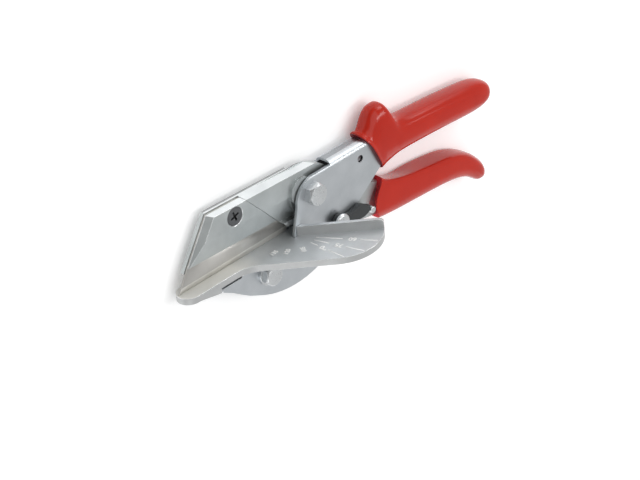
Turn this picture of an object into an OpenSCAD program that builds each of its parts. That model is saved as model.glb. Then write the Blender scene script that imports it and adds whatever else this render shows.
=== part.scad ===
// Anvil mitre shears, closed, lying on the back of the frame.
// X runs from the blade tip to the grips, Y is square to the mitre table, Z points to the fence side.
// Every piece is drawn from the blade's heel on the table top, and place() moves it to the part's origin.

/* [Frame] */
// Outside width of the folded frame
frame_w = 10.4; // [10:0.1:11]
// Distance of the frame's fence-side face from the cutting edge
frame_near = 8.1; // [7.9:0.1:8.4]
// Sheet thickness of the frame
sheet_t = 1.5; // [1.2:0.1:1.6]
// Outside bend radius of the fold
fold_r = 3.8; // [2.5:0.1:4.5]
// Height of the folded top over the table
frame_top = 29; // [28.8:0.1:30]
// Distance of the folded top's front end from the blade heel
fold_front = 27.5; // [26:0.5:31]
// Distance of the frame's rear corner from the blade heel
frame_rear = 61; // [60:0.5:64]
// Height of the frame's rear corner
rear_corner_y = 9.8; // [9:0.1:11]
// Radius of the lobe under the table
lobe_r = 54; // [52:0.5:58]
// Depth of the lobe under the table
lobe_depth = 25.6; // [24:0.1:27]
// Diameter of the hanging hole
hang_d = 3.8; // [3:0.1:5]
// Distance of the hanging hole from the blade heel
hang_x = 47.8; // [45.5:0.1:48.5]
// Height of the hanging hole
hang_y = 20.7; // [18:0.1:22]

/* [Pivot] */
// Distance of the pivot from the blade heel
pivot_x = 13.7; // [13:0.1:14.5]
// Height of the pivot over the table
pivot_y = 17.8; // [17:0.1:18.4]
// Diameter of the pivot shank
pivot_d = 8; // [7:0.5:9]
// Width across flats of the pivot head
pivot_af = 11; // [10:0.5:13]
// Height of the pivot head
pivot_head_h = 4.6; // [3:0.1:6]
// Thread diameter of the bolts
thread_d = 6; // [5:0.5:6.5]
// Width across flats of the table bolt's head and of both nuts
nut_af = 10; // [9:0.5:11]
// Height of the thin nuts
nut_h = 3.5; // [3.3:0.1:5]
// Wall of the pivot bush
bush_t = 1.2; // [0.8:0.1:1.6]
// Thickness of the thrust washers
thrust_t = 0.5; // [0.4:0.05:0.6]
// Radius of the lever's hub
hub_r = 11.8; // [11:0.1:12]

/* [Mitre table] */
// Thickness of the table
table_t = 3.5; // [2.5:0.1:4]
// Width of the anvil finger
finger_w = 13; // [12:0.1:13]
// Distance of the finger's centre line from the cutting edge, to the fence side
finger_off = 1.2; // [1.2:0.1:1.6]
// Reach of the finger in front of the heel
finger_reach = 71.7; // [71.7:0.1:76]
// Width of the wing, square to the fence
wing_w = 23.5; // [21:0.1:26]
// Straight length of the fence before its round end
fence_straight = 19.3; // [16:0.1:24]
// Height of the fence over the table
fence_h = 5.2; // [4:0.1:8]
// Thickness of the fence
fence_t = 2; // [1.5:0.1:2.5]
// Width of the scale lines
mark_w = 0.5; // [0.3:0.1:0.8]
// Depth of the scale lines
mark_depth = 0.3; // [0.2:0.1:0.6]
// Depth of the lug between the frame's walls
lug_depth = 17; // [16:0.5:19]
// Distance of the table bolt in front of the heel
table_bolt_x = 21.5; // [18:0.5:24]
// Depth of the table bolt under the table
table_bolt_depth = 9.8; // [9.8:0.1:11]
// Height of the table bolt's head
bolt_head_h = 4; // [3:0.1:5]
// Thickness of the table bolt's washer
washer_t = 1.6; // [1:0.1:2]
// Outside diameter of the table bolt's washer
washer_d = 12; // [11:0.5:12]

/* [Jaw] */
// Thickness of the blade
blade_t = 1.2; // [0.9:0.1:1.4]
// Length of the cutting edge
blade_len = 71.2; // [69:0.1:71.4]
// Height of the blade's ground bevel
grind_h = 3.6; // [2:0.1:5]
// Thickness of the back plate behind the blade
back_t = 2.2; // [1.8:0.1:2.6]
// Thickness of the clamp plate
clamp_t = 3.2; // [3:0.1:3.5]
// Height of the clamp plate's lower edge over the anvil, at the heel
jaw_gap = 9.7; // [9:0.1:10.5]
// Height of the jaw at its front corner
jaw_front_h = 34.4; // [34:0.1:35]
// Height of the lever over the table at the pivot
jaw_rear_h = 32; // [31.5:0.1:32.3]
// Distance of the jaw's front top corner from the heel
jaw_top_x = 48.6; // [47:0.1:50]
// Lean of the jaw's front edge, from the upright
jaw_lean = 35; // [33:0.5:36]
// Drop of the chamfer along the jaw's top
chamfer_drop = 1.7; // [1:0.1:2]
// Set-back of the chamfer along the clamp plate's front
chamfer_set = 2.6; // [1.5:0.1:3]
// Height where the clamp plate starts to thin, at the heel
bevel_top = 20; // [19:0.1:20.2]
// Thickness left at the clamp plate's lower edge
clamp_lip = 0.8; // [0.6:0.1:1.5]
// Distance of the clamp screw from the heel
clamp_screw_x = 33.8; // [33:0.1:35]
// Depth of the clamp screw under the jaw's top edge
clamp_screw_drop = 7.1; // [6.9:0.1:7.2]
// Diameter of the clamp screw's thread
clamp_screw_d = 5; // [4:0.5:5.5]
// Diameter of the clamp screw's head
clamp_head_d = 9.6; // [8.5:0.1:9.8]
// Diameter of the blade's dowels
dowel_d = 3; // [2:0.5:3.5]

/* [Grips] */
// Half width of the upper grip
upper_grip_hw = 7.8; // [7.6:0.1:8.2]
// Half width of the lower grip
lower_grip_hw = 7.4; // [7.2:0.1:7.8]
// Distance of the upper grip's end from the heel
upper_grip_end = 150.4; // [150:0.2:155]
// Distance of the lower grip's end from the heel
lower_grip_end = 145.4; // [145:0.2:150]
// Height of the thumb stop
thumb_stop_h = 42.8; // [41:0.2:44]
// Depth of the lower grip's hooked end
hook_depth = 35.4; // [34.6:0.2:38]

/* [Catch] */
// Distance of the catch's screw from the heel
catch_x = 27.6; // [27:0.1:28]
// Depth of the catch's screw under the table
catch_depth = 4.9; // [4.6:0.1:5.2]
// Thickness of the catch
catch_t = 3; // [2.5:0.1:5]
// Turn of the catch from free to standing against its pin, in degrees
catch_swing = 6; // [5.5:0.5:7]
// Diameter of the catch's bush
catch_bush_d = 6; // [5.5:0.1:6.5]
// Thread diameter of the catch's screw
catch_screw_d = 4; // [3:0.5:4]
// Diameter of the catch pin
catch_pin_d = 3.6; // [3:0.1:3.8]
// Distance of the catch pin from the heel
catch_pin_x = 50.4; // [50:0.1:51]
// Depth of the catch pin under the table
catch_pin_depth = 9; // [8.7:0.1:9.3]

/* [Return spring] */
// Wire diameter of the return spring
wire_d = 0.9; // [0.7:0.05:1]
// Coil radius at the middle of the wire
coil_r = 2.4; // [2.3:0.05:2.6]
// Number of curls
curls = 7; // [5:1:8]
// Distance of the return spring from the heel
spring_x = 37; // [36.5:0.1:37.5]
// Diameter of the two pegs inside the spring
peg_d = 2.8; // [2:0.1:3]
// Height of the pegs
peg_h = 4; // [3:0.5:5]

/* [Fits] */
// Clearance between pieces that slide or turn
run_gap = 0.1; // [0.06:0.01:0.14]
// Running clearance of a pin in its bore, on the radius
pin_gap = 0.05; // [0.02:0.01:0.1]
// Clearance round a bolt in its hole, on the radius
bolt_gap = 0.2; // [0.1:0.05:0.4]
// Gap between seated pieces
seat_gap = 0.1; // [0.05:0.01:0.2]
// Clearance of the table between and beside the frame's walls
lug_gap = 0.2; // [0.1:0.05:0.3]

/* [Hidden] */
$fn = 48;
big = 200;
over = 1;
cos45 = cos(45);

// Faces of the frame's two walls, and its middle
frame_far = frame_near - frame_w;
near_in = frame_near - sheet_t;
far_in = frame_far + sheet_t;
frame_mid = (frame_near + frame_far) / 2;
web_under = frame_top - sheet_t;
rest_plane = frame_far - nut_h;

// Layers of the lever, the blade and the clamp plate through their thickness
hub_far = far_in + run_gap + thrust_t;
hub_near = near_in - run_gap - thrust_t;
blade_front = blade_t;
clamp_face = blade_t + clamp_t;
arm_mid = (hub_far + clamp_face) / 2;

// Slopes of the jaw's top and front edges; its lower edge and bevel run along with the top
jaw_fall = (jaw_front_h - jaw_rear_h) / (jaw_top_x + pivot_x);
jaw_fall_angle = atan(jaw_fall);
function jaw_top(x) = jaw_front_h - jaw_fall * (x + jaw_top_x);
function jaw_low(x) = jaw_gap - jaw_fall * x;
jaw_foot_x = -65;
function jaw_front(y) = -jaw_top_x - (jaw_front_h - y) * tan(jaw_lean);

// The seam between the clamp plate and the lever
seam_top_x = -27.4;
seam_top = [seam_top_x, jaw_top(seam_top_x)];
seam_mid = [-11.8, 16.2];
seam_low = [-1.5, 5];

// Front edge of the frame's walls round the pivot, and the lobe under the table
nose_r = 12.3;
nose = [pivot_x + 1.3, pivot_y - 3.5];
wall_foot = [-1.3, 1.3];
lobe_c = [-3, lobe_r - lobe_depth];
lobe_rear_angle = -74;
lobe_front_angle = -117;
lobe_front = [[-34.4, -16.3], [-40.4, -12.2], [-45.2, -8.8], [-50, -6.2]];
lobe_tip_x = -50.3;
slit_end_x = -38;
slit_h = 0.6;
table_under = -table_t - seat_gap;

// The walls' two strips inside the upper grip
fold_rear = 60;
tang_top = [[fold_rear, 26], [80, 24.5], [136, 18]];
tang_low = [[136, 12.5], [80, 13.5], [66, 13.5]];

// The anvil finger and the wing
finger_r = finger_w / 2;
finger_tip = [-finger_reach + finger_r, finger_off];
finger_near = finger_off + finger_r;
finger_far = finger_off - finger_r;
finger_fillet = 18;
wing_c = [fence_straight * cos45, frame_near + fence_straight * cos45];
wing_edge = frame_near + wing_w / cos45;
fillet_c = [finger_near + finger_fillet - wing_edge - finger_fillet / cos45, finger_near + finger_fillet];
tab_rear = 8;
lug_front = -46;
lug_rear = -2.5;
lug_r = 7.5;
lug_step = 3;
lug_knee_x = -28;
rib_front = -64;
rib_depth = 2.7;
join = 0.5;
fence_end_r = 3;
fence_past = 0.5;

// Scale lines from the fence corner: angle to the cutting edge and both ends, broken for each number
marks = [
    [60, 9.5, 23.2], [60, 31.6, 40.5], [75, 9.5, 18.3], [75, 27.1, 37.3], [90, 9.5, 14.5], [90, 21.4, 31.7]
];

table_bolt_pos = [-table_bolt_x, -table_bolt_depth];
pivot_pos = [pivot_x, pivot_y];
hang_pos = [hang_x, hang_y];
catch_pos = [catch_x, -catch_depth];
catch_pin_pos = [catch_pin_x, -catch_pin_depth];
clamp_screw_pos = [-clamp_screw_x, jaw_top(-clamp_screw_x) - clamp_screw_drop];
dowel_spots = [[-50, 17], [-16, 15.5]];
dowel_reach = 0.9;
clamp_cone_h = (clamp_head_d - clamp_screw_d) / 2;
head_sink = 0.2;
cross_l = 5.2;
cross_w = 1.1;
cross_depth = 1.7;
cross_turn = 20;
edge_lift = 0.1;
edge_t = 0.1;
bush_od = pivot_d + 2 * (pin_gap + bush_t);

// The thrust washers stay under the fold's bends; the pad beside them stands out from the lever
thrust_r = frame_top - fold_r - pivot_y - seat_gap;
pad_pos = [pivot_x - 4.7, pivot_y + 2.6];
pad_r = 7.2;

// Seat of the return spring on the lever, and the ends of the coil
spring_seat_y = 10;
spring_z = (far_in + near_in) / 2 - 0.4;
spring_low = spring_seat_y + wire_d / 2 + seat_gap;
spring_high = web_under - wire_d / 2 - seat_gap;

catch_low = frame_near + 3 * run_gap;
catch_high = catch_low + catch_t;
catch_ring_r = 4;
catch_head_r = 4.8;
catch_head_h = 1.8;

origin_x = (upper_grip_end - finger_reach) / 2;
origin_y = (thumb_stop_h - hook_depth) / 2;

steel = [0.70, 0.72, 0.74];
cast_metal = [0.66, 0.68, 0.68];
blade_steel = [0.62, 0.61, 0.58];
dark_steel = [0.33, 0.34, 0.34];
bronze = [0.72, 0.58, 0.34];
grip_red = [0.74, 0.20, 0.18];
catch_black = [0.16, 0.17, 0.18];

module place() {
    translate([-origin_x, -origin_y, -rest_plane]) children();
}

// Points of an arc from one angle to another
function arc(c, r, from, to, n) = [
    for (i = [0:n]) c + r * [cos(from + (to - from) * i / n), sin(from + (to - from) * i / n)]
];

// A flat outline in X and Y between two faces in Z
module slab(low, high) {
    translate([0, 0, low]) linear_extrude(high - low) children();
}

// A flat outline in X and Z between two heights in Y
module table_slab(low, high) {
    translate([0, high, 0]) rotate([90, 0, 0]) linear_extrude(high - low) children();
}

// A section in minus Z and Y, drawn along X
module along_x(low, high) {
    translate([low, 0, 0]) rotate([0, 90, 0]) linear_extrude(high - low) children();
}

module at(pos, low) {
    translate([pos[0], pos[1], low]) children();
}

module bore(pos, d) {
    at(pos, -big / 2) cylinder(d = d, h = big);
}

module ring(outer, inner, low, high) {
    difference() {
        translate([0, 0, low]) cylinder(d = outer, h = high - low);
        translate([0, 0, low - over]) cylinder(d = inner, h = high - low + 2 * over);
    }
}

hex_turn = 15;
hex_flare = 1.5;
hex_crown = 0.95;
module hex_prism(across, low, high) {
    translate([0, 0, low]) rotate(hex_turn) cylinder(d = across / cos(30), h = high - low, $fn = 6);
}

// A hexagon head with its upper corners turned off
module hex_head(across, low, high) {
    intersection() {
        hex_prism(across, low, high);
        translate([0, 0, low]) cylinder(d1 = across * hex_flare, d2 = across * hex_crown, h = high - low);
    }
}

// Side outline of the frame's walls, with the strips inside the grip
module wall_outline() {
    polygon(concat(
        [[fold_front, frame_top], [fold_rear, frame_top]],
        tang_top,
        tang_low,
        [[frame_rear, rear_corner_y]],
        arc(lobe_c, lobe_r, lobe_rear_angle, lobe_front_angle, 14),
        lobe_front,
        [[lobe_tip_x, table_under - slit_h], [slit_end_x, table_under - slit_h]],
        [[slit_end_x + slit_h, table_under]],
        [[wall_foot[0], table_under], wall_foot],
        arc(nose, nose_r, 180, 90, 12),
        [[fold_front, nose[1] + nose_r]]
    ));
}

// Cross section of the fold with its two round bends
module fold_section(inset) {
    w = frame_w / 2 - inset;
    top = frame_top - inset;
    r = fold_r - inset;
    translate([-w, -big]) square([2 * w, big + top - r]);
    translate([-w + r, -big]) square([2 * (w - r), big + top]);
    for (side = [-1, 1])
        translate([side * (w - r), top - r]) circle(r);
}

// The pocket of the grip over the fold
module fold_pocket() {
    w = frame_w / 2 - fold_r;
    r = fold_r + 1.5 * seat_gap;
    c = frame_top - fold_r;
    polygon(concat(
        [[-frame_mid + w + r, rear_corner_y]], arc([w - frame_mid, c], r, 0, 90, 6),
        arc([-w - frame_mid, c], r, 90, 180, 6), [[-frame_mid - w - r, rear_corner_y]]
    ));
}

module fold(low, high, inset) {
    translate([0, 0, frame_mid]) along_x(low, high) fold_section(inset);
}

module body_frame() {
    color(steel)
        difference() {
            union() {
                difference() {
                    intersection() {
                        slab(frame_far, frame_near) wall_outline();
                        fold(-big, big, 0);
                    }
                    fold(-big, big, sheet_t);
                }
                translate([spring_x, web_under + join, spring_z]) rotate([90, 0, 0])
                    cylinder(d = peg_d, h = peg_h + join);
            }
            bore(pivot_pos, pivot_d + 2 * pin_gap);
            bore(hang_pos, hang_d);
            bore(table_bolt_pos, thread_d + 2 * bolt_gap);
            at(catch_pos, frame_mid) cylinder(d = catch_screw_d, h = big);
        }
}

// Outline of the table in X and Z
module table_outline() {
    polygon(concat(
        [[tab_rear, far_in + lug_gap], [wall_foot[0] - lug_gap, far_in + lug_gap]],
        [[wall_foot[0] - lug_gap, finger_far], [finger_tip[0], finger_far]],
        arc(finger_tip, finger_r, 270, 90, 16),
        arc(fillet_c, finger_fillet, 270, 315, 8),
        arc(wing_c, wing_w, 135, 45, 14),
        [wing_c + cos45 * [wing_w + fence_t, wing_w - fence_t]],
        [[fence_t / cos45 + lug_gap, frame_near + lug_gap], [wall_foot[0] - lug_gap, frame_near + lug_gap]],
        [[wall_foot[0] - lug_gap, near_in - lug_gap], [tab_rear, near_in - lug_gap]]
    ));
}

module fence_strip() {
    translate([0, frame_near]) rotate(45) translate([lug_gap, -fence_t - over]) square([big, fence_t + over]);
}

// Side view of the fence, with the round corner at its end
module fence_side() {
    end = fence_straight + wing_w + fence_past;
    translate([0, 0, frame_near]) rotate([0, -45, 0]) linear_extrude(big, center = true)
        polygon(concat(
            [[-big, -big], [-big, big], [end - fence_end_r, big]],
            arc([end - fence_end_r, fence_h - fence_end_r], fence_end_r, 90, 0, 6), [[end, -big]]
        ));
}

module table_lug_outline() {
    polygon(concat(
        [[lug_front, -table_t + join], [lug_front, -table_t - lug_step]],
        arc([lug_knee_x, lug_r - lug_depth], lug_r, 215, 270, 6),
        arc([lug_rear - lug_r, lug_r - lug_depth], lug_r, 270, 360, 8),
        [[lug_rear, -table_t + join]]
    ));
}

// Rib under the finger, in front of the lobe
rib_rear = lobe_tip_x - 2 * lug_gap;
module rib_outline() {
    polygon([
        [rib_front, -table_t + join], [rib_front, -table_t], [rib_rear, -table_t - rib_depth],
        [rib_rear, -table_t + join]
    ]);
}

module mitre_table() {
    color(cast_metal)
        difference() {
            union() {
                table_slab(-table_t, 0) table_outline();
                intersection() {
                    table_slab(-join, fence_h) intersection() {
                        table_outline();
                        fence_strip();
                    }
                    fence_side();
                }
                slab(far_in + lug_gap, near_in - lug_gap) table_lug_outline();
                slab(finger_far, finger_near) rib_outline();
            }
            bore(table_bolt_pos, thread_d + 2 * bolt_gap);
            for (m = marks)
                translate([0, -mark_depth, frame_near]) rotate([0, -m[0], 0])
                    translate([m[1], 0, -mark_w / 2]) cube([m[2] - m[1], 1, mark_w]);
        }
}

module table_bolt() {
    head_low = frame_near + washer_t;
    color(steel)
        at(table_bolt_pos, 0) {
            hex_head(nut_af, head_low, head_low + bolt_head_h);
            translate([0, 0, rest_plane]) cylinder(d = thread_d, h = head_low - rest_plane);
        }
}

module table_bolt_washer() {
    color(steel) at(table_bolt_pos, 0)
        ring(washer_d, thread_d + 2 * bolt_gap, frame_near, frame_near + washer_t);
}

module thin_nut() {
    difference() {
        hex_prism(nut_af, rest_plane, frame_far);
        translate([0, 0, rest_plane - over]) cylinder(d = thread_d + 2 * pin_gap, h = nut_h + 2 * over);
    }
}

module table_bolt_nut() {
    color(steel) at(table_bolt_pos, 0) thin_nut();
}

module pivot_bolt() {
    color(steel)
        at(pivot_pos, 0) {
            hex_head(pivot_af, frame_near, frame_near + pivot_head_h);
            translate([0, 0, frame_far]) cylinder(d = pivot_d, h = frame_w);
            translate([0, 0, rest_plane]) cylinder(d = thread_d, h = nut_h + join);
        }
}

module pivot_nut() {
    color(steel) at(pivot_pos, 0) thin_nut();
}

module thrust_washers() {
    color(steel)
        at(pivot_pos, 0) {
            ring(2 * thrust_r, pivot_d + 2 * pin_gap, hub_near + run_gap / 2, near_in - run_gap / 2);
            ring(2 * thrust_r, pivot_d + 2 * pin_gap, far_in + run_gap / 2, hub_far - run_gap / 2);
        }
}

module pivot_bush() {
    color(bronze) at(pivot_pos, 0) ring(bush_od, pivot_d + 2 * pin_gap, hub_far, hub_near);
}

// Side outline of the lever: jaw arm, hub, spring seat and tang
lever_crown = [8, 2];
lever_crown_r = jaw_top(8) + 0.4;
lever_seat = [[32.4, spring_seat_y + 5], [32.6, spring_seat_y], [41.6, spring_seat_y], [46, 7]];
lever_tang_top = [[60, 1.6], [76, -6.5], [104, -12], [126, -18.5], [135, -25]];
lever_tang_low = [[132, -27.5], [124, -24], [100, -20.5], [76, -18.5], [60, -18]];
lever_belly = [[48, -16], [42, -15], [33, -8], [22, 3], [8, 4]];
module arm_outline() {
    polygon(concat(
        [seam_low, seam_mid, seam_top, [6, jaw_top(6)]],
        arc(lever_crown, lever_crown_r - lever_crown[1], 86, 38, 8),
        lever_seat,
        lever_tang_top,
        lever_tang_low,
        lever_belly
    ));
}

// The plate behind the blade ends round the frame's nose
plate_rear_r = 13.5;
plate_drop = 2.7;
plate_low = jaw_low(jaw_foot_x) - plate_drop;
module back_plate_outline() {
    polygon(concat(
        [[jaw_front(plate_low), plate_low], [-jaw_top_x, jaw_front_h], [6, jaw_top(6)]],
        arc(pivot_pos, plate_rear_r, 120, 205, 10),
        [[0, jaw_low(0) + 1]]
    ));
}

// Material taken off the fence side of the jaw: top chamfer, front chamfer and lower bevel
chamfer_past = 0.8;
chamfer_reach = clamp_face + chamfer_past;
front_edge_t = 0.4;
front_reach = clamp_t - front_edge_t;
bevel_depth = clamp_t - clamp_lip;
bevel_h = bevel_top - jaw_gap;
bevel_end = 6;
bevel_run = 1.2;
module top_chamfer() {
    translate([-jaw_top_x, jaw_front_h, clamp_face]) rotate(-jaw_fall_angle)
        along_x(-big, big) polygon([
            [-over, -chamfer_drop], [0, -chamfer_drop], [chamfer_reach, 0], [chamfer_reach, big], [-over, big]
        ]);
}
module front_chamfer() {
    translate([-jaw_top_x, jaw_front_h, clamp_face]) rotate(-jaw_lean) rotate([90, 0, 0])
        linear_extrude(2 * big, center = true)
            polygon([
                [chamfer_set, 0], [chamfer_set, over], [-chamfer_set, over], [-chamfer_set, -2 * front_reach]
            ]);
}
module lower_bevel() {
    translate([0, bevel_top, clamp_face]) rotate(-jaw_fall_angle)
        along_x(-big, bevel_end) polygon([
            [-over, 0], [0, 0], bevel_run * [bevel_depth, -bevel_h], [-over, -bevel_run * bevel_h]
        ]);
}

// Strip of the crown that the top chamfer leaves standing, on the far side
crown_strip_t = 0.9;
crown_strip_front = -14;
module crown_strip() {
    table_slab(0, big) polygon([
        [crown_strip_front, hub_far - over], [crown_strip_front, hub_far],
        [lever_crown[0], hub_far + crown_strip_t],
        [big, hub_far + crown_strip_t], [big, hub_far - over]
    ]);
}

// Thicker part of the lever between the frame's rear edge and the lower grip
tang_pad = [
    [36, 6], [44, 7.2], [46.4, 6.2], [60, 1.1], [54, -6.6], [52.6, -9], [53.8, -11.5], [54.6, -14.5],
    [47, -14.6], [41, -12.5], [36, -6]
];

module blade_lever() {
    color(cast_metal)
        difference() {
            union() {
                difference() {
                    slab(hub_far, clamp_face) arm_outline();
                    difference() {
                        top_chamfer();
                        crown_strip();
                    }
                    lower_bevel();
                    slab(hub_far - over, blade_front + seat_gap / 2) blade_shape(seat_gap);
                }
                difference() {
                    slab(-back_t, -seat_gap / 2) back_plate_outline();
                    top_chamfer();
                }
                at(pivot_pos, hub_far) cylinder(r = hub_r, h = clamp_face - hub_far);
                at(pivot_pos, frame_mid) cylinder(r = thrust_r, h = hub_near - frame_mid);
                at(pad_pos, frame_mid) cylinder(r = pad_r, h = hub_near - frame_mid);
                slab(frame_mid, hub_near) polygon(tang_pad);
                translate([spring_x, spring_seat_y - join, spring_z]) rotate([-90, 0, 0])
                    cylinder(d = peg_d, h = peg_h + join);
            }
            bore(pivot_pos, bush_od);
            bore(clamp_screw_pos, clamp_screw_d);
            for (p = dowel_spots)
                at(p, -big / 2) cylinder(d = dowel_d, h = big / 2);
            bore(catch_pin_pos, catch_pin_d);
        }
}

// Blade outline; its rear end is tucked under the lever
blade_rear = [4.5, jaw_gap - 2];
blade_knee_y = 12;
blade_front_set = 0.3;
blade_top_set = 0.75;
module blade_shape(grow) {
    polygon([
        [-blade_len, edge_lift], [jaw_front(blade_knee_y) + blade_front_set, blade_knee_y],
        [jaw_front(jaw_front_h - blade_top_set) + blade_front_set, jaw_front_h - blade_top_set],
        [seam_top[0] + grow, seam_top[1] - blade_top_set + grow],
        [blade_rear[0] + grow, blade_rear[1] + grow], [grow, edge_lift - grow]
    ]);
}

module blade() {
    color(blade_steel)
        difference() {
            slab(0, blade_front) blade_shape(0);
            translate([0, edge_lift + grind_h, blade_front])
                rotate([atan((blade_t - edge_t) / grind_h), 0, 0])
                    translate([-big / 2, -big, 0]) cube([big, big, big]);
            bore(clamp_screw_pos, clamp_screw_d + 2 * bolt_gap);
            for (p = dowel_spots)
                bore(p, dowel_d + 2 * pin_gap);
        }
}

module clamp_outline() {
    low_rear = seam_low + (seam_mid - seam_low) * (jaw_low(-6) - seam_low[1]) / (seam_mid[1] - seam_low[1]);
    polygon([
        [jaw_front(jaw_low(jaw_foot_x)), jaw_low(jaw_foot_x)], [-jaw_top_x, jaw_front_h],
        seam_top - [2 * seat_gap, 0], seam_mid - [2 * seat_gap, 0], low_rear - [2 * seat_gap, 0]
    ]);
}

// Half section of the clamp screw's hole, from the head's rim
module countersink_profile() {
    shank_r = clamp_screw_d / 2 + bolt_gap;
    rim_r = clamp_head_d / 2 + bolt_gap;
    polygon([
        [0, -big], [shank_r, -big], [shank_r, -clamp_cone_h], [rim_r, 0], [rim_r, over], [0, over]
    ]);
}

module clamp_plate() {
    color(cast_metal)
        difference() {
            slab(blade_front + seat_gap / 2, clamp_face) clamp_outline();
            top_chamfer();
            front_chamfer();
            lower_bevel();
            at(clamp_screw_pos, clamp_face - head_sink) rotate_extrude() countersink_profile();
            for (p = dowel_spots)
                at(p, 0) cylinder(d = dowel_d + 2 * pin_gap, h = blade_t + dowel_reach + seat_gap);
        }
}

module clamp_screw() {
    color(dark_steel)
        at(clamp_screw_pos, 0)
            difference() {
                union() {
                    translate([0, 0, clamp_face - clamp_cone_h - head_sink])
                        cylinder(d1 = clamp_screw_d, d2 = clamp_head_d, h = clamp_cone_h);
                    translate([0, 0, -back_t])
                        cylinder(d = clamp_screw_d, h = clamp_face - clamp_cone_h + back_t);
                }
                for (turn = [0, 90])
                    rotate(turn + cross_turn)
                        translate([-cross_l / 2, -cross_w / 2, clamp_face - head_sink - cross_depth])
                            cube([cross_l, cross_w, big]);
            }
}

module blade_dowels() {
    color(dark_steel)
        for (p = dowel_spots)
            at(p, -back_t + head_sink) cylinder(d = dowel_d, h = back_t - head_sink + blade_t + dowel_reach);
}

// Grip stations: distance from the heel, top, bottom, share of the half width, squareness of the section
upper_stations = [
    [44, 30.6, 8.8, 0.8, 0.6], [49.5, 31, 8.6, 0.82, 0.6], [52, 32.2, 8.4, 0.84, 0.64],
    [54.4, 35.2, 8.2, 0.86, 0.7], [57, 38.8, 8, 0.88, 0.76], [60, thumb_stop_h - 1.1, 7.8, 0.9, 0.8],
    [63.3, thumb_stop_h, 7.7, 0.92, 0.82], [66.6, thumb_stop_h - 0.7, 7.7, 0.93, 0.82],
    [70, thumb_stop_h - 3.2, 7.9, 0.94, 0.82], [73, 35.2, 8.2, 0.95, 0.8], [75.5, 31.4, 8.5, 0.96, 0.78],
    [78.5, 29.4, 9, 0.97, 0.76], [84, 28.6, 9.2, 0.98, 0.76], [97, 27.9, 9.2, 1, 0.76],
    [113, 26.6, 8.6, 1, 0.76], [127, 24.6, 7.6, 1, 0.77], [135.5, 22.6, 7.1, 0.98, 0.8],
    [141.8, 20.2, 7.2, 0.91, 0.85], [146.3, 17.4, 8, 0.76, 0.9], [149, 15, 9.4, 0.5, 0.95],
    [upper_grip_end, 12.7, 11, 0.17, 1]
];
lower_stations = [
    [48, 4, -18.5, 0.92, 0.55], [58, 3.2, -18.8, 0.95, 0.57], [64, 1.8, -19.5, 0.98, 0.6],
    [70, -0.4, -20.2, 1, 0.62], [78, -3, -20.9, 1.01, 0.64], [88, -5.4, -21.8, 1.01, 0.66],
    [102, -7.9, -23.2, 1.01, 0.68], [113, -9.7, -24.6, 1.01, 0.7], [121, -11.9, -26, 1, 0.72],
    [127.6, -14.9, -27.8, 0.98, 0.75], [132.6, -18.1, -30.2, 0.94, 0.78], [136.9, -21.3, -33.2, 0.88, 0.82],
    [140.7, -24.5, -hook_depth + 0.4, 0.76, 0.88], [143.7, -27.8, -hook_depth, 0.54, 0.93],
    [lower_grip_end, -30.8, -33.8, 0.17, 1]
];
grip_sides = 24;
function section(st, hw, mid) = [
    for (i = [0:grip_sides - 1])
        let (c = cos(360 * i / grip_sides), s = sin(360 * i / grip_sides))
        [st[0], (st[1] + st[2]) / 2 + (st[1] - st[2]) / 2 * sign(s) * pow(abs(s), st[4]),
            mid + hw * st[3] * sign(c) * pow(abs(c), st[4])]
];

// Closed skin over rings of equal count
module skin(rings) {
    n = len(rings[0]);
    m = len(rings);
    points = [for (r = rings) each r];
    sides = [
        for (k = [0:m - 2], i = [0:n - 1])
            let (a = k * n + i, b = k * n + (i + 1) % n, c = (k + 1) * n + (i + 1) % n, d = (k + 1) * n + i)
            each [[a, b, c], [a, c, d]]
    ];
    first_cap = [for (i = [1:n - 2]) [0, i + 1, i]];
    last_cap = [for (i = [1:n - 2]) (m - 1) * n * [1, 1, 1] + [0, i, i + 1]];
    polyhedron(points, concat(sides, first_cap, last_cap));
}

// Outlines taken off the front of the grips, along their rims
upper_rim = [[49.4, 31.5], [51.5, 29.2], [54.8, 25.6], [63, 8.6]];
lower_rim = [[61.8, 2.7], [54.6, -6.6], [53.2, -9], [54.4, -11.5], [62, -24]];
function lifted(line, by) = [for (p = line) p + by];
module before_rim(rim) {
    slab(-big / 2, big / 2) polygon(concat(
        [[0, -big], [0, big], [rim[0][0], big]], rim, [[rim[len(rim) - 1][0], -big]]
    ));
}

module upper_grip() {
    color(grip_red)
        difference() {
            skin([for (st = upper_stations) section(st, upper_grip_hw, frame_mid)]);
            before_rim(upper_rim);
            slab(frame_far - seat_gap, frame_near + seat_gap)
                polygon(concat(
                    lifted(tang_top, [0, seat_gap]),
                    [tang_top[2] + [seat_gap, 0], tang_low[0] + [seat_gap, 0]],
                    lifted(tang_low, [0, -seat_gap]),
                    [[frame_rear, rear_corner_y - seat_gap], [fold_rear - 3, rear_corner_y - seat_gap]]
                ));
            along_x(0, fold_rear + seat_gap) fold_pocket();
        }
}

module lower_grip() {
    color(grip_red)
        difference() {
            skin([for (st = lower_stations) section(st, lower_grip_hw, arm_mid)]);
            before_rim(lower_rim);
            slab(hub_far - seat_gap, clamp_face + seat_gap)
                polygon(concat(
                    [lever_seat[3] + [0, seat_gap]], lifted(lever_tang_top, [0, seat_gap]),
                    [lever_tang_top[4] + [seat_gap, 0]], lifted(lever_tang_low, [0, -seat_gap]),
                    [lever_belly[0] - [0, seat_gap]]
                ));
        }
}

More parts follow.
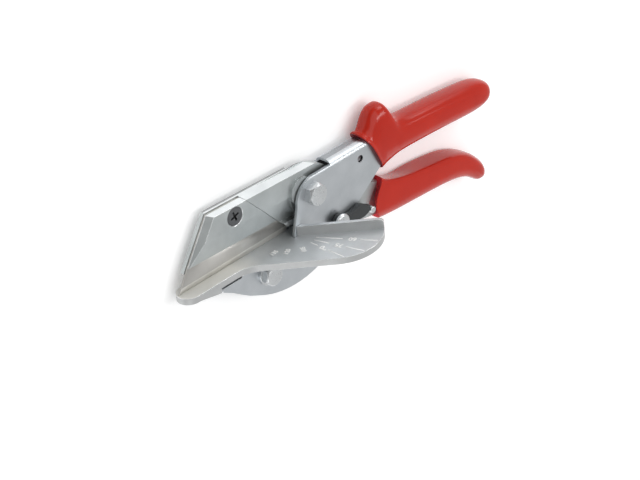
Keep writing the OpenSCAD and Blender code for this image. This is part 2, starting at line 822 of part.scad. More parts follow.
// Catch: a thumb lever on a bush; its end stands square against the pin after the swing
pin_arm = catch_pin_pos - catch_pos;
catch_reach = norm(pin_arm) - catch_pin_d / 2 - run_gap;
catch_end_angle = atan2(pin_arm[1], pin_arm[0]) + catch_swing;
function catch_end(off) = catch_pos + [
    catch_reach * cos(catch_end_angle) - off * sin(catch_end_angle),
    catch_reach * sin(catch_end_angle) + off * cos(catch_end_angle)
];
catch_back = [[31.6, -3.1], [34.6, -3.2], [38.8, -2.6], [41.6, -2], [43.7, -2.5], [46.9, -4.4]];
catch_belly = [[46.8, -9], [44, -9.8], [36, -9.6]];
module catch_outline() {
    polygon(concat(
        arc(catch_pos, catch_ring_r, 250, 50, 10),
        catch_back, [catch_end(1), catch_end(-1.2)], catch_belly
    ));
}

module catch() {
    color(catch_black)
        difference() {
            slab(catch_low, catch_high) catch_outline();
            bore(catch_pos, catch_bush_d + 2 * pin_gap);
        }
}

module catch_bush() {
    color(steel) at(catch_pos, 0)
        ring(catch_bush_d, catch_screw_d + 2 * pin_gap, frame_near, catch_high + run_gap);
}

module catch_screw() {
    color(steel)
        at(catch_pos, 0) {
            translate([0, 0, near_in]) cylinder(d = catch_screw_d, h = catch_high + run_gap - near_in);
            translate([0, 0, catch_high + run_gap])
                rotate_extrude() polygon([
                    [0, 0], [catch_head_r, 0], [catch_head_r, catch_head_h / 2],
                    [catch_head_r - 0.8, catch_head_h - 0.2], [0, catch_head_h]
                ]);
        }
}

module catch_pin() {
    color(steel) at(catch_pin_pos, hub_far) cylinder(d = catch_pin_d, h = catch_high - hub_far);
}

// Coil of the return spring, as one tube
ring_sides = 6;
rings_per_curl = 8;
spring_rings = curls * rings_per_curl;
function coil_point(t) = [
    spring_x + coil_r * cos(360 * t), spring_low + (spring_high - spring_low) * t / curls,
    spring_z + coil_r * sin(360 * t)
];
function coil_ring(t) = [
    for (i = [0:ring_sides - 1])
        let (a = 360 * i / ring_sides)
        coil_point(t) + wire_d / 2 * [cos(a) * cos(360 * t), sin(a), cos(a) * sin(360 * t)]
];

module return_spring() {
    color(steel) skin([for (k = [0:spring_rings]) coil_ring(k / rings_per_curl)]);
}
coil_gaps = [for (k = [0:spring_rings - rings_per_curl])
    norm(coil_point(k / rings_per_curl + 1) - coil_point(k / rings_per_curl)) - wire_d];
echo(least_spring_gap = min(coil_gaps));

place() body_frame();
place() upper_grip();
place() mitre_table();
place() table_bolt();
place() table_bolt_washer();
place() table_bolt_nut();
place() pivot_bolt();
place() pivot_nut();
place() thrust_washers();
place() pivot_bush();
place() blade_lever();
place() lower_grip();
place() blade();
place() clamp_plate();
place() clamp_screw();
place() blade_dowels();
place() catch();
place() catch_screw();
place() catch_bush();
place() catch_pin();
place() return_spring();
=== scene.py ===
import math

import bmesh
import bpy
from mathutils import Matrix, Vector


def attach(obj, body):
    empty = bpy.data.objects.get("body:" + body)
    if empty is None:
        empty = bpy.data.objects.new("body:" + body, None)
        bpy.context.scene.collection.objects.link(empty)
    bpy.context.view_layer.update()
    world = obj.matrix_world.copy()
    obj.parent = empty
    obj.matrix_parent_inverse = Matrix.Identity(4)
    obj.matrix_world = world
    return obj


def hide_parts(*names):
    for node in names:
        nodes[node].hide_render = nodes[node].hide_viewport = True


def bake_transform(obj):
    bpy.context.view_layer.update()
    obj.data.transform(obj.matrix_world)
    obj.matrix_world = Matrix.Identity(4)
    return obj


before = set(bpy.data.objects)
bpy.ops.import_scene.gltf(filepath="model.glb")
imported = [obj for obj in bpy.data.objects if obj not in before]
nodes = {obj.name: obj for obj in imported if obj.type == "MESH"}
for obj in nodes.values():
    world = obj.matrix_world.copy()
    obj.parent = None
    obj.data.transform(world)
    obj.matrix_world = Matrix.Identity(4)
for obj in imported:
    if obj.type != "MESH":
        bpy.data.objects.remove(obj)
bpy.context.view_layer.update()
scene = bpy.context.scene
scene.view_settings.view_transform = "Standard"
print("frame loaded,", len(nodes), "nodes")

heelShift = Vector((-39.35, -3.7, 5.8))  # blade heel on the table top, from the part's origin, mm


def metres(length):
    return length / 1000  # sizes below are in mm unless a note says otherwise


def spot(x, y, z):
    return (Vector((x, y, z)) + heelShift) / 1000  # mm from the heel to metres in the part's frame


# camera at the photo's viewing angle, places in metres
viewpoint = {
    "place": (-0.60538, 0.51454, 0.64717),
    "right": (0.69326, -0.09411, 0.71452),
    "up": (0.43317, 0.84678, -0.30875),
    "back": (-0.57599, 0.52355, 0.62780),
    "lens": 115.3,
    "sensor": 36,
    "nearest": 0.02,
}

cameraData = bpy.data.cameras.new("camera")
cameraData.sensor_fit = "HORIZONTAL"
cameraData.sensor_width = viewpoint["sensor"]
cameraData.lens = viewpoint["lens"]
cameraData.clip_start = viewpoint["nearest"]
camera = bpy.data.objects.new("camera", cameraData)
scene.collection.objects.link(camera)
turn = Matrix((viewpoint["right"], viewpoint["up"], viewpoint["back"])).transposed()
camera.matrix_world = Matrix.Translation(viewpoint["place"]) @ turn.to_4x4()
scene.camera = camera
print("camera set")

# soft studio light in metres and watts: a plain sky, a broad overhead lamp and five weaker ones
studio = {
    "sky": 0.62,
    "skyDim": 0.30,
    "dimBetween": (0.45, 0.98),  # cosine of the angle to the camera's side
    "lamps": {
        "overheadLamp": {"place": (-0.15, 0.35, 0.95), "aim": (-0.02, 0.0, 0.02),
                         "size": (0.9, 0.9), "watts": 2.7},
        "rightStrip": {"place": (0.45, 0.10, 0.92), "aim": (0.02, 0.02, 0.03),
                       "size": (0.14, 0.60), "watts": 1.5},
        "backLamp": {"place": (0.62, 0.80, 0.36), "aim": (0.0, 0.0, 0.02),
                     "size": (0.6, 0.6), "watts": 1.2},
        "sideLamp": {"place": (0.63, 0.64, 0.60), "aim": (0.0, 0.0, 0.02),
                     "size": (0.32, 0.32), "watts": 0.95},
        "frontLamp": {"place": (-0.60, -0.52, 0.55), "aim": (-0.02, 0.0, 0.02),
                      "size": (0.5, 0.5), "watts": 0.8},
        "lowLamp": {"place": (0.55, -0.78, 0.26), "aim": (-0.04, 0.0, 0.01),
                    "size": (0.5, 0.5), "watts": 0.4},
    },
    "floor": (0.97, 0.97, 0.97),
    "floorRough": 0.9,
    "floorGloss": 0.1,
    "floorGlow": 0.22,
    "floorSize": 6.0,
}
plainWhite = (1, 1, 1, 1)


def lookAlong(place, aim):
    return (Vector(aim) - Vector(place)).to_track_quat("-Z", "Y").to_matrix().to_4x4()


for lampName, lamp in studio["lamps"].items():
    lampData = bpy.data.lights.new(lampName, "AREA")
    lampData.shape = "RECTANGLE"
    lampData.size, lampData.size_y = lamp["size"]
    lampData.energy = lamp["watts"]
    lampObject = bpy.data.objects.new(lampName, lampData)
    lampObject.matrix_world = Matrix.Translation(lamp["place"]) @ lookAlong(lamp["place"], lamp["aim"])
    scene.collection.objects.link(lampObject)

# the sky is dimmer on the side that the camera stands on, as in a photo booth
sky = bpy.data.worlds.new("studioSky")
sky.use_nodes = True
scene.world = sky
skyNodes, skyLinks = sky.node_tree.nodes, sky.node_tree.links
skyCoord = skyNodes.new("ShaderNodeTexCoord")
skyDot = skyNodes.new("ShaderNodeVectorMath")
skyDot.operation = "DOT_PRODUCT"
skyDot.inputs[1].default_value = viewpoint["back"]
skyRange = skyNodes.new("ShaderNodeMapRange")
skyRange.interpolation_type = "SMOOTHSTEP"
skyRange.inputs["From Min"].default_value, skyRange.inputs["From Max"].default_value = studio["dimBetween"]
skyRange.inputs["To Min"].default_value = studio["sky"]
skyRange.inputs["To Max"].default_value = studio["skyDim"]
skyLinks.new(skyCoord.outputs["Generated"], skyDot.inputs[0])
skyLinks.new(skyDot.outputs["Value"], skyRange.inputs["Value"])
skyLinks.new(skyRange.outputs["Result"], skyNodes["Background"].inputs["Strength"])
skyNodes["Background"].inputs["Color"].default_value = plainWhite


def shaderOf(name):
    material = bpy.data.materials.new(name)
    material.use_nodes = True
    return material, material.node_tree, material.node_tree.nodes["Principled BSDF"]


def mathNode(tree, operation):
    node = tree.nodes.new("ShaderNodeMath")
    node.operation = operation
    return node


floorPaper, paperTree, paperShader = shaderOf("floorPaper")
paperShader.inputs["Base Color"].default_value = (*studio["floor"], 1)
paperShader.inputs["Roughness"].default_value = studio["floorRough"]
paperShader.inputs["Specular IOR Level"].default_value = studio["floorGloss"]
# what the camera, gloss and glass see of the paper is lifted to white; its shadow stays
paperShader.inputs["Emission Color"].default_value = plainWhite
rayKind = paperTree.nodes.new("ShaderNodeLightPath")
seenOrGloss = mathNode(paperTree, "MAXIMUM")
seenAtAll = mathNode(paperTree, "MAXIMUM")
glow = mathNode(paperTree, "MULTIPLY")
glow.inputs[1].default_value = studio["floorGlow"]
paperTree.links.new(rayKind.outputs["Is Camera Ray"], seenOrGloss.inputs[0])
paperTree.links.new(rayKind.outputs["Is Glossy Ray"], seenOrGloss.inputs[1])
paperTree.links.new(seenOrGloss.outputs["Value"], seenAtAll.inputs[0])
paperTree.links.new(rayKind.outputs["Is Transmission Ray"], seenAtAll.inputs[1])
paperTree.links.new(seenAtAll.outputs["Value"], glow.inputs[0])
paperTree.links.new(glow.outputs["Value"], paperShader.inputs["Emission Strength"])
floorMesh = bmesh.new()
bmesh.ops.create_grid(floorMesh, x_segments=1, y_segments=1, size=studio["floorSize"] / 2)
floorData = bpy.data.meshes.new("floor")
floorMesh.to_mesh(floorData)
floorMesh.free()
floor = bpy.data.objects.new("floor", floorData)
floorData.materials.append(floorPaper)
scene.collection.objects.link(floor)
print("light and floor set")

# finishes: every one is noise on object coordinates, in metres
metalNoise = {"cloudScale": 90.0, "cloudDetail": 4.0, "grainDetail": 3.0}
mouldedNoise = {"cloudScale": 60.0, "cloudDetail": 3.0, "grainDetail": 2.0}
noiseMiddle = (0.3, 0.7)  # the part of a noise's values that is spread out


def noiseOn(tree, scale, detail, stretch=None):
    coord = tree.nodes.new("ShaderNodeTexCoord")
    noise = tree.nodes.new("ShaderNodeTexNoise")
    noise.inputs["Scale"].default_value = scale
    noise.inputs["Detail"].default_value = detail
    if stretch:
        mapping = tree.nodes.new("ShaderNodeMapping")
        mapping.inputs["Scale"].default_value = stretch
        tree.links.new(coord.outputs["Object"], mapping.inputs["Vector"])
        tree.links.new(mapping.outputs["Vector"], noise.inputs["Vector"])
    else:
        tree.links.new(coord.outputs["Object"], noise.inputs["Vector"])
    return noise.outputs["Fac"]


def spread(tree, value, low, high, between=noiseMiddle):
    reach = tree.nodes.new("ShaderNodeMapRange")
    reach.inputs["From Min"].default_value, reach.inputs["From Max"].default_value = between
    reach.inputs["To Min"].default_value = low
    reach.inputs["To Max"].default_value = high
    tree.links.new(value, reach.inputs["Value"])
    return reach.outputs["Result"]


def tinted(tree, value, dark, light):
    mix = tree.nodes.new("ShaderNodeMix")
    mix.data_type = "RGBA"
    mix.inputs["A"].default_value = (*dark, 1)
    mix.inputs["B"].default_value = (*light, 1)
    tree.links.new(value, mix.inputs["Factor"])
    return mix.outputs["Result"]


def relief(tree, shader, value, depth):
    bump = tree.nodes.new("ShaderNodeBump")
    bump.inputs["Distance"].default_value = depth
    tree.links.new(value, bump.inputs["Height"])
    tree.links.new(bump.outputs["Normal"], shader.inputs["Normal"])


def noisySurface(tree, shader, noise, dark, light, rough, grain, depth, stretch=None):
    clouds = noiseOn(tree, noise["cloudScale"], noise["cloudDetail"])
    tint = tinted(tree, spread(tree, clouds, 0.0, 1.0), dark, light)
    tree.links.new(tint, shader.inputs["Base Color"])
    fine = noiseOn(tree, grain, noise["grainDetail"], stretch)
    tree.links.new(spread(tree, fine, *rough), shader.inputs["Roughness"])
    relief(tree, shader, fine, depth)


def metalFinish(name, dark, light, rough, grain, depth, stretch=None, metallic=1.0):
    material, tree, shader = shaderOf(name)
    shader.inputs["Metallic"].default_value = metallic
    noisySurface(tree, shader, metalNoise, dark, light, rough, grain, depth, stretch)
    return material


def mouldedFinish(name, dark, light, rough, grain, depth, gloss=0.5):
    material, tree, shader = shaderOf(name)
    shader.inputs["Specular IOR Level"].default_value = gloss
    noisySurface(tree, shader, mouldedNoise, dark, light, rough, grain, depth)
    return material


platedSteel = metalFinish("platedSteel", (0.545, 0.575, 0.60), (0.625, 0.655, 0.68), (0.30, 0.40),
                          grain=1800.0, depth=0.000006)
leverMetal = metalFinish("leverMetal", (0.47, 0.50, 0.50), (0.56, 0.59, 0.59), (0.36, 0.46),
                         grain=1500.0, depth=0.000010, metallic=0.9)
tableMetal = metalFinish("tableMetal", (0.50, 0.51, 0.51), (0.58, 0.59, 0.59), (0.42, 0.54),
                         grain=1400.0, depth=0.000010, metallic=0.8)
tableTop = metalFinish("tableTop", (0.565, 0.59, 0.605), (0.645, 0.67, 0.685), (0.42, 0.54),
                       grain=1400.0, depth=0.000010, metallic=0.75)
bladeSteel = metalFinish("bladeSteel", (0.49, 0.48, 0.455), (0.57, 0.56, 0.535), (0.38, 0.50),
                         grain=500.0, depth=0.000004, stretch=(1.0, 0.05, 1.0), metallic=0.85)
boltSteel = metalFinish("boltSteel", (0.64, 0.66, 0.67), (0.74, 0.76, 0.77), (0.26, 0.34),
                        grain=900.0, depth=0.000002)
darkSteel = metalFinish("darkSteel", (0.11, 0.115, 0.12), (0.17, 0.175, 0.18), (0.38, 0.50),
                        grain=1600.0, depth=0.000010)
# painted highlight: the broken edges are near white and glossy so they read as lit lines
edgePaintedHighlight = metalFinish("edgePaintedHighlight", (0.80, 0.82, 0.83), (0.90, 0.91, 0.92), (0.18, 0.28),
                         grain=1800.0, depth=0.000004)
# milled chamfer; its near-white tone is a painted highlight
milledChamferPaintedHighlight = metalFinish("milledChamferPaintedHighlight", (0.70, 0.73, 0.74), (0.82, 0.85, 0.86), (0.30, 0.42),
                         grain=700.0, depth=0.000006, stretch=(0.15, 1.0, 1.0))
# darker on the lever's upward-facing top face
leverTopDarker = metalFinish("leverTopDarker", (0.30, 0.31, 0.31), (0.38, 0.39, 0.39), (0.36, 0.48),
                          grain=900.0, depth=0.000010, stretch=(1.0, 1.0, 0.15))
# painted shade: the fold's upward face is darker than the rest of the plated steel
foldTopPaintedShade = metalFinish("foldTopPaintedShade", (0.30, 0.32, 0.34), (0.40, 0.42, 0.44), (0.24, 0.34),
                      grain=1500.0, depth=0.000005, stretch=(0.1, 1.0, 1.0))
# ground bevel; its lighter, less metallic tone than the blade is a painted reflection
groundBevelPaintedReflection = metalFinish("groundBevelPaintedReflection", (0.66, 0.645, 0.605), (0.78, 0.765, 0.72), (0.34, 0.46),
                          grain=900.0, depth=0.000006, stretch=(1.0, 0.06, 0.06), metallic=0.6)
bushBronze = metalFinish("bushBronze", (0.50, 0.36, 0.17), (0.62, 0.46, 0.24), (0.34, 0.46),
                         grain=1500.0, depth=0.000010)
springWire = metalFinish("springWire", (0.34, 0.35, 0.36), (0.46, 0.47, 0.48), (0.26, 0.36),
                         grain=2200.0, depth=0.000004)
gripRed = mouldedFinish("gripRed", (0.46, 0.014, 0.003), (0.52, 0.018, 0.005), (0.12, 0.18),
                        grain=2600.0, depth=0.000003, gloss=0.34)
# painted shade: the upper grip's end face is a darker copy of the grip's red
upperRimPaintedShade = mouldedFinish("upperRimPaintedShade", (0.20, 0.008, 0.015), (0.24, 0.011, 0.020), (0.50, 0.60),
                         grain=2200.0, depth=0.000006, gloss=0.3)
# painted light: the lower grip's end face is a lighter copy of the grip's red, lifting it out of the wall's
# shade
lowerRimPaintedLight = mouldedFinish("lowerRimPaintedLight", (0.72, 0.028, 0.038), (0.80, 0.036, 0.048), (0.50, 0.60),
                         grain=2200.0, depth=0.000006, gloss=0.3)
catchBlack = mouldedFinish("catchBlack", (0.020, 0.023, 0.025), (0.030, 0.034, 0.036), (0.40, 0.50),
                           grain=2200.0, depth=0.000010)
scaleWhite = mouldedFinish("scaleWhite", (0.93, 0.93, 0.92), (0.98, 0.98, 0.97), (0.50, 0.60),
                           grain=2000.0, depth=0.000004, gloss=0.3)

# painted reflection: the table's top faces turn paler and less metallic towards the anvil finger's tip; x
# in metres
anvilPaintedSheen = {"paleBetween": (-0.064, -0.078), "pale": (0.86, 0.855, 0.815), "metallic": 0.35}


def paintedPaleTowardsTip(material):
    tree = material.node_tree
    shader = tree.nodes["Principled BSDF"]
    coord = tree.nodes.new("ShaderNodeTexCoord")
    axes = tree.nodes.new("ShaderNodeSeparateXYZ")
    tree.links.new(coord.outputs["Object"], axes.inputs["Vector"])
    paleness = spread(tree, axes.outputs["X"], 0.0, 1.0, anvilPaintedSheen["paleBetween"])
    mix = tree.nodes.new("ShaderNodeMix")
    mix.data_type = "RGBA"
    mix.inputs["B"].default_value = (*anvilPaintedSheen["pale"], 1)
    tree.links.new(shader.inputs["Base Color"].links[0].from_socket, mix.inputs["A"])
    tree.links.new(paleness, mix.inputs["Factor"])
    tree.links.new(mix.outputs["Result"], shader.inputs["Base Color"])
    plain = shader.inputs["Metallic"].default_value
    dulled = spread(tree, paleness, plain, anvilPaintedSheen["metallic"], (0.0, 1.0))
    tree.links.new(dulled, shader.inputs["Metallic"])


paintedPaleTowardsTip(tableTop)
print("finishes made")


def newPiece(name, bm, finishes, body):
    data = bpy.data.meshes.new(name)
    bm.to_mesh(data)
    bm.free()
    piece = bpy.data.objects.new(name, data)
    for finish in finishes:
        data.materials.append(finish)
    scene.collection.objects.link(piece)
    for face in data.polygons:
        face.use_smooth = True
    if body:
        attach(piece, body)
    return piece


# rigid pieces keep their solid and get slightly broken edges with a painted highlight; faces that point one
# way may get another finish, among them painted shade on the fold's top, a painted highlight on the milled
# chamfers and a painted reflection on the blade's ground bevel
upFacing = (0.0, 1.0, 0.0)
chamferFacing = (0.036, 0.949, 0.311)
topFacing = (0.039, 0.999, 0.0)
bevelFacing = (0.0, -0.292, 0.956)
easedPieces = {
    "frameShell": {"node": "body_frame", "body": "frame", "edge": 0.22,
                   "finish": platedSteel, "slot": "plated_steel", "facings": [(upFacing, foldTopPaintedShade)]},
    "tableCasting": {"node": "mitre_table", "body": "frame", "edge": 0.35,
                     "finish": tableMetal, "slot": "cast_metal", "facings": [(upFacing, tableTop)]},
    "tableBoltHead": {"node": "table_bolt", "body": "frame", "edge": 0.25,
                      "finish": boltSteel, "slot": "plated_steel"},
    "boltWasher": {"node": "table_bolt_washer", "body": "frame", "edge": 0.2,
                   "finish": boltSteel, "slot": "plated_steel"},
    "tableBoltNut": {"node": "table_bolt_nut", "body": "frame", "edge": 0.3,
                     "finish": boltSteel, "slot": "plated_steel"},
    "pivotBoltHead": {"node": "pivot_bolt", "body": "frame", "edge": 0.3,
                      "finish": boltSteel, "slot": "plated_steel"},
    "pivotNut": {"node": "pivot_nut", "body": "frame", "edge": 0.3,
                 "finish": boltSteel, "slot": "plated_steel"},
    "thrustRings": {"node": "thrust_washers", "body": "frame", "edge": 0.08,
                    "finish": boltSteel, "slot": "plated_steel"},
    "leverForging": {"node": "blade_lever", "body": "lever", "edge": 0.25,
                     "finish": leverMetal, "slot": "lever_metal",
                     "facings": [(chamferFacing, milledChamferPaintedHighlight), (topFacing, leverTopDarker)]},
    "clampCheek": {"node": "clamp_plate", "body": "lever", "edge": 0.15,
                   "finish": leverMetal, "slot": "lever_metal",
                   "facings": [(chamferFacing, milledChamferPaintedHighlight)]},
    "bladePlate": {"node": "blade", "body": "lever", "edge": 0,
                   "finish": bladeSteel, "slot": "blade_steel",
                   "facings": [(bevelFacing, groundBevelPaintedReflection)]},
    "clampScrewHead": {"node": "clamp_screw", "body": "lever", "edge": 0.12,
                       "finish": darkSteel, "slot": "dark_steel", "edgeFinish": darkSteel},
    "thumbCatch": {"node": "catch", "body": "catch", "edge": 0.4,  # a wider edge closes its bore
                   "finish": catchBlack, "slot": "black_plastic", "edgeFinish": catchBlack},
    "catchScrewHead": {"node": "catch_screw", "body": "frame", "edge": 0.2,
                       "finish": boltSteel, "slot": "plated_steel"},
    "catchStud": {"node": "catch_pin", "body": "lever", "edge": 0.4,
                  "finish": boltSteel, "slot": "plated_steel"},
}
easing = {"weld": 0.000002, "flatWithin": 0.5, "sharpFrom": 28, "facingMatch": 0.985,
          "segments": 2, "profile": 0.5, "shadeWeight": 100}  # weld in metres, angles in degrees


def easedCopy(name, spec):
    bm = bmesh.new()
    bm.from_mesh(nodes[spec["node"]].data)
    bmesh.ops.remove_doubles(bm, verts=bm.verts, dist=easing["weld"])
    flatWithin = math.radians(easing["flatWithin"])
    bmesh.ops.dissolve_limit(bm, angle_limit=flatWithin, verts=bm.verts, edges=bm.edges)
    finishes = [spec["finish"], spec.get("edgeFinish", edgePaintedHighlight)]
    for facing, finish in spec.get("facings", ()):
        for face in bm.faces:
            if face.normal.dot(Vector(facing)) > easing["facingMatch"]:
                face.material_index = len(finishes)
        finishes.append(finish)
    piece = newPiece(name, bm, finishes, spec["body"])
    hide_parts(spec["node"])
    if not spec["edge"]:
        return
    rounding = piece.modifiers.new("brokenEdges", "BEVEL")
    # the edge finish is a painted highlight on all pieces but the clamp screw and the catch
    rounding.material = 1  # the edge finish
    rounding.limit_method = "ANGLE"
    rounding.angle_limit = math.radians(easing["sharpFrom"])
    rounding.width = metres(spec["edge"])
    rounding.segments = easing["segments"]
    rounding.profile = easing["profile"]
    evenShade = piece.modifiers.new("evenShade", "WEIGHTED_NORMAL")
    evenShade.mode = "FACE_AREA"
    evenShade.weight = easing["shadeWeight"]


for pieceName, pieceSpec in easedPieces.items():
    easedCopy(pieceName, pieceSpec)
print("rigid pieces eased:", len(easedPieces))

# pieces that stay as they are get their finish
plainNodes = {"blade_dowels": darkSteel, "pivot_bush": bushBronze, "catch_bush": boltSteel}
for nodeName, nodeFinish in plainNodes.items():
    nodes[nodeName].data.materials.clear()
    nodes[nodeName].data.materials.append(nodeFinish)

# grips: rings drawn out from the rim to the tip
# a ring is its x at top, middle and bottom, its top and bottom y, its share of the half width,
# and the powers that square its upper and its lower half
upperGrip = {
    "halfWidth": 7.8, "middle": 2.9, "points": 24, "waist": 0.28,
    "rings": [
        (50.9, 55.2, 62.6, 31.2, 8.2, 0.97, 0.76, 0.50),
        (51.0, 55.3, 62.7, 32.0, 7.9, 0.99, 0.82, 0.52),
        (51.7, 55.9, 63.2, 32.4, 7.7, 0.98, 0.86, 0.56),
        (52.8, 57.0, 64.0, 31.9, 7.6, 0.94, 0.88, 0.60),
        (54.3, 58.3, 65.0, 32.6, 7.5, 0.91, 0.86, 0.63),
        (56.2, 59.9, 66.0, 36.0, 7.5, 0.90, 0.83, 0.65),
        (58.4, 61.7, 67.1, 39.6, 7.6, 0.90, 0.81, 0.68),
        (61.2, 63.9, 68.3, 42.3, 7.8, 0.91, 0.80, 0.70),
        (64.3, 66.2, 69.6, 42.8, 8.0, 0.92, 0.80, 0.72),
        (67.3, 68.6, 71.2, 42.8, 8.3, 0.94, 0.80, 0.74),
        (69.9, 70.9, 73.0, 41.3, 8.7, 0.95, 0.80, 0.76),
        (71.8, 72.9, 74.9, 37.4, 9.2, 0.96, 0.80, 0.78),
        (73.4, 74.5, 76.8, 33.0, 9.7, 0.97, 0.80, 0.78),
        (76.4, 77.2, 79.6, 30.0, 10.0, 0.97, 0.78, 0.78),
        (84.0, 84.0, 84.0, 28.6, 10.1, 0.98, 0.77, 0.77),
        (97.0, 97.0, 97.0, 27.8, 9.7, 1.00, 0.76, 0.76),
        (113.0, 113.0, 113.0, 26.6, 8.7, 1.00, 0.76, 0.76),
        (127.0, 127.0, 127.0, 25.2, 7.6, 1.00, 0.77, 0.77),
        (135.5, 135.5, 135.5, 24.3, 7.2, 0.98, 0.78, 0.80),
        (141.6, 141.6, 141.6, 22.9, 7.6, 0.93, 0.80, 0.85),
        (145.7, 145.7, 145.7, 20.8, 8.8, 0.80, 0.84, 0.90),
        (148.2, 148.2, 148.2, 18.0, 10.8, 0.50, 0.92, 0.95),
    ],
    "tip": (149.0, 14.6),
}
lowerGrip = {
    "halfWidth": 7.4, "middle": 2.1, "points": 24, "waist": 0.56,
    "lean": {"drop": 3.8, "since": 64.0, "rise": 11.0, "until": 90.0, "fade": 12.0},
    "rings": [
        (61.5, 53.2, 58.6, 3.4, -20.2, 0.96, 0.26, 0.60),
        (62.2, 54.2, 59.4, 3.1, -20.3, 0.97, 0.26, 0.60),
        (63.9, 57.4, 61.6, 1.6, -20.6, 0.98, 0.26, 0.62),
        (66.6, 62.0, 65.2, 0.0, -21.0, 0.99, 0.26, 0.64),
        (70.4, 68.2, 69.6, -1.2, -21.5, 1.00, 0.26, 0.66),
        (78.0, 77.4, 78.0, -3.0, -22.1, 1.01, 0.27, 0.68),
        (88.0, 88.0, 88.0, -5.2, -22.6, 1.01, 0.28, 0.68),
        (102.0, 102.0, 102.0, -7.3, -23.5, 1.01, 0.30, 0.70),
        (113.0, 113.0, 113.0, -8.7, -24.6, 1.01, 0.36, 0.70),
        (121.0, 121.0, 121.0, -10.7, -26.2, 1.00, 0.46, 0.70),
        (126.8, 126.8, 126.8, -13.3, -28.6, 0.99, 0.60, 0.68),
        (131.0, 131.0, 131.0, -16.1, -31.6, 0.98, 0.70, 0.68),
        (134.6, 134.6, 134.6, -19.2, -34.6, 0.94, 0.76, 0.72),
        (138.2, 138.2, 138.2, -23.0, -35.4, 0.84, 0.84, 0.80),
        (141.0, 141.0, 141.0, -27.2, -35.3, 0.60, 0.92, 0.90),
    ],
    "tip": (142.2, -31.6),
}
endFace = {"shares": (0.5, 0.93), "core": 2.0}  # rings inside the rim, and how far in the middle lies
smoothLevels = 2
seamWeld = 0.000001  # metres


def bent(value, power):
    return math.copysign(abs(value) ** power, value)


def ramp(value):
    return min(1.0, max(0.0, value))


def ringPoint(grip, ring, angle):
    xTop, xMid, xLow, top, low, share, upSquare, downSquare = ring
    square = upSquare if math.sin(angle) >= 0 else downSquare
    y = (top + low) / 2 + (top - low) / 2 * bent(math.sin(angle), square)
    z = grip["middle"] + grip["halfWidth"] * share * bent(math.cos(angle), square)
    down = (top - y) / (top - low)
    waist = grip["waist"]
    if down < waist:
        x = xTop + (xMid - xTop) * down / waist
    else:
        x = xMid + (xLow - xMid) * (down - waist) / (1 - waist)
    lean = grip.get("lean")
    if lean:  # a stretch where the top falls away to the far side
        begun = ramp((xTop - lean["since"]) / lean["rise"])
        fall = lean["drop"] * begun * ramp((lean["until"] - xTop) / lean["fade"])
        raised = max(0.0, bent(math.sin(angle), upSquare))
        y -= fall * raised * (1 - bent(math.cos(angle), square)) / 2
    return spot(x, y, z)


def drawnOut(bm, loop, angles, pointOf):
    grown = bmesh.ops.extrude_edge_only(bm, edges=loop)["geom"]
    for vert in [g for g in grown if isinstance(g, bmesh.types.BMVert)]:
        vert.co = pointOf(vert[angles])
    ahead = [g for g in grown if isinstance(g, bmesh.types.BMEdge)]
    return [e for e in ahead if e.is_boundary]


def gripSkin(name, grip, node, body, rimPaintedShading):
    bm = bmesh.new()
    angles = bm.verts.layers.float.new("angle")
    bmesh.ops.create_circle(bm, segments=grip["points"], radius=1.0, cap_ends=False)
    for vert in bm.verts:
        vert[angles] = math.atan2(vert.co.y, vert.co.x)
    rings = grip["rings"]
    rim = rings[0]
    middle = sum((ringPoint(grip, rim, v[angles]) for v in bm.verts), Vector()) / grip["points"]
    middle.x += metres(endFace["core"])
    first, *others = endFace["shares"]
    for vert in bm.verts:
        vert.co = middle.lerp(ringPoint(grip, rim, vert[angles]), first)
    loop = bm.edges[:]
    drawnOut(bm, loop, angles, lambda a: middle)
    for share in others:
        loop = drawnOut(bm, loop, angles, lambda a, s=share: middle.lerp(ringPoint(grip, rim, a), s))
    for ring in rings:
        loop = drawnOut(bm, loop, angles, lambda a, r=ring: ringPoint(grip, r, a))
        if ring == rim:
            for face in bm.faces:
                face.material_index = 1  # the end face
        else:
            newest = {v for e in loop for v in e.verts}
            for face in bm.faces:
                if newest.intersection(face.verts):
                    face.material_index = 0
    tip = spot(*grip["tip"], grip["middle"])
    drawnOut(bm, loop, angles, lambda a: tip)
    bmesh.ops.remove_doubles(bm, verts=bm.verts, dist=seamWeld)
    bmesh.ops.recalc_face_normals(bm, faces=bm.faces)
    piece = newPiece(name, bm, [gripRed, rimPaintedShading], body)
    smoothing = piece.modifiers.new("moulded", "SUBSURF")
    smoothing.levels = smoothing.render_levels = smoothLevels
    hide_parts(node)


# the grips' end faces take painted shade on the upper grip and painted light on the lower
gripSkin("upperGripMoulding", upperGrip, "upper_grip", "frame", upperRimPaintedShade)
gripSkin("lowerGripMoulding", lowerGrip, "lower_grip", "lever", lowerRimPaintedLight)
print("grips moulded")

# return spring: a wire section spun along its axis
spring = {"x": 37.0, "z": 2.5, "coil": 2.4, "wire": 0.9, "curls": 7, "low": 10.55, "high": 26.95,
          "perCurl": 24, "sides": 10}


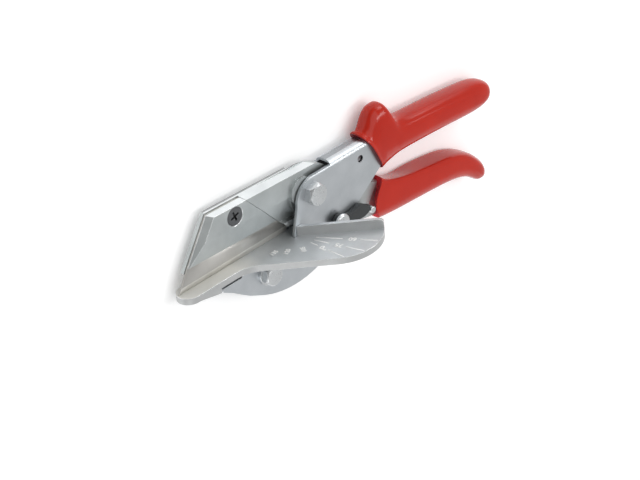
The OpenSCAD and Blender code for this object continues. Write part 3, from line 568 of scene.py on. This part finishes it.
def springCoil():
    bm = bmesh.new()
    bmesh.ops.create_circle(bm, segments=spring["sides"], radius=metres(spring["wire"]) / 2, cap_ends=False)
    start = spot(spring["x"] + spring["coil"], spring["low"], spring["z"])
    bmesh.ops.translate(bm, verts=bm.verts, vec=start)
    steps = spring["curls"] * spring["perCurl"]
    rise = metres(spring["high"] - spring["low"]) / steps
    bmesh.ops.spin(bm, geom=bm.verts[:] + bm.edges[:], cent=spot(spring["x"], spring["low"], spring["z"]),
                   axis=(0, 1, 0), dvec=(0, rise, 0), angle=2 * math.pi * spring["curls"], steps=steps,
                   use_duplicate=False, use_merge=False)
    bmesh.ops.holes_fill(bm, edges=[e for e in bm.edges if e.is_boundary], sides=0)
    bmesh.ops.recalc_face_normals(bm, faces=bm.faces)
    piece = newPiece("springCoil", bm, [springWire], None)
    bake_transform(piece)
    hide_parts("return_spring")


springCoil()
print("spring wound")

# scale of the mitre table: white lines in the grooves, and each number in the break of its line
# a line is its heading in degrees, start and end; a number its text, heading, distance and size
tableScale = {
    "corner": (0.0, 8.1), "sunk": 0.06, "depth": 0.16, "strip": 0.48, "raised": 0.05, "bolder": 0.13,
    "lines": [(60, 9.6, 23.1), (60, 31.7, 40.4), (75, 9.6, 18.2), (75, 27.2, 37.2),
              (90, 9.6, 14.4), (90, 21.5, 31.6)],
    "numbers": [("60", 60, 28.0, 4.1), ("75", 75, 23.4, 4.1), ("90", 90, 18.4, 4.1),
                ("105", 121, 13.2, 3.3), ("120", 154, 14.4, 3.3), ("135", 174, 17.6, 3.3)],
}


def scaleDirections(heading):
    turned = math.radians(heading)
    along = Vector((math.cos(turned), 0, math.sin(turned)))
    across = Vector((-math.sin(turned), 0, math.cos(turned)))
    return along, across


def scalePlace(along, distance):
    cornerX, cornerZ = tableScale["corner"]
    return spot(cornerX, 0, cornerZ) + along * distance / 1000


def scaleLines():
    bm = bmesh.new()
    drop = Vector((0, metres(tableScale["sunk"] + tableScale["depth"] / 2), 0))
    for heading, near, far in tableScale["lines"]:
        along, across = scaleDirections(heading)
        sizes = (metres(far - near), metres(tableScale["depth"]), metres(tableScale["strip"]))
        middle = scalePlace(along, (near + far) / 2) - drop
        turned = Matrix((along, (0, 1, 0), across)).transposed().to_4x4()
        laid = Matrix.Translation(middle) @ turned @ Matrix.Diagonal((*sizes, 1))
        bmesh.ops.create_cube(bm, size=1.0, matrix=laid)
    bmesh.ops.recalc_face_normals(bm, faces=bm.faces)
    newPiece("scaleLines", bm, [scaleWhite], "frame")


def scaleNumber(text, heading, distance, size):
    words = bpy.data.curves.new("number" + text, "FONT")
    words.body = text
    words.size = metres(size)
    words.align_x = "CENTER"
    words.align_y = "CENTER"
    words.offset = metres(tableScale["bolder"])
    words.extrude = metres(tableScale["raised"])
    holder = bpy.data.objects.new("numberCurve" + text, words)
    scene.collection.objects.link(holder)
    bpy.context.view_layer.update()
    flat = bpy.data.meshes.new_from_object(holder.evaluated_get(bpy.context.evaluated_depsgraph_get()))
    bpy.data.objects.remove(holder)
    bm = bmesh.new()
    bm.from_mesh(flat)
    bmesh.ops.remove_doubles(bm, verts=bm.verts, dist=seamWeld)
    along, across = scaleDirections(heading)
    reading = Matrix((-along, across, (0, 1, 0))).transposed().to_4x4()  # it reads towards the fence corner
    laid = Matrix.Translation(scalePlace(along, distance)) @ reading
    bmesh.ops.transform(bm, matrix=laid, verts=bm.verts)
    bmesh.ops.recalc_face_normals(bm, faces=bm.faces)
    newPiece("scaleNumber" + text, bm, [scaleWhite], "frame")


scaleLines()
for number in tableScale["numbers"]:
    scaleNumber(*number)
print("scale marked")
